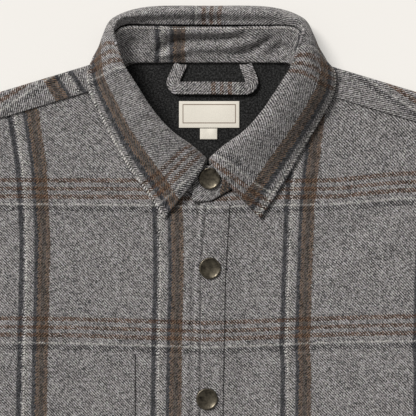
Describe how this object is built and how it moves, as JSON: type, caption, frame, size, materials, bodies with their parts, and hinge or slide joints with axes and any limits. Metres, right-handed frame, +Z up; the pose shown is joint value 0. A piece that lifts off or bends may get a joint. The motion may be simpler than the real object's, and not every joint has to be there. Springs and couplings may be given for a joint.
{
  "type": "shacket with a shirt collar and a snap front",
  "caption": "Plaid wool overshirt laid flat: folded shirt collar, yoke, snap placket, chest pockets and long sleeves with cuffs.",
  "frame": {"origin": "on the surface under the middle of the garment's outline", "axes": "+Z up out of the surface, +Y towards the collar, +X towards the wearer's left sleeve"},
  "size_m": [1.2126, 0.8141, 0.0332],
  "materials": {
    "wool": "brushed twill plaid in greys, white and brown",
    "lining": "charcoal, matt",
    "label": "ivory satin weave, bare",
    "snap": "antique, satin"
  },
  "bodies": {
    "root": {"back": "wool", "yoke": "wool", "lining": "lining", "front_right": "wool", "front_left": "wool", "placket": "wool", "pocket_right": "wool", "pocket_left": "wool", "sleeve_right": "wool", "sleeve_left": "wool", "cuff_right": "wool", "cuff_left": "wool", "collar_stand": "wool", "collar_leaf": "wool", "hanging_loop": "wool", "label": "label", "size_tab": "label", "snap_1": "snap", "snap_2": "snap", "snap_3": "snap", "snap_4": "snap", "snap_5": "snap", "snap_6": "snap", "cuff_snap_right": "snap", "cuff_snap_left": "snap"}
  },
  "joints": []
}
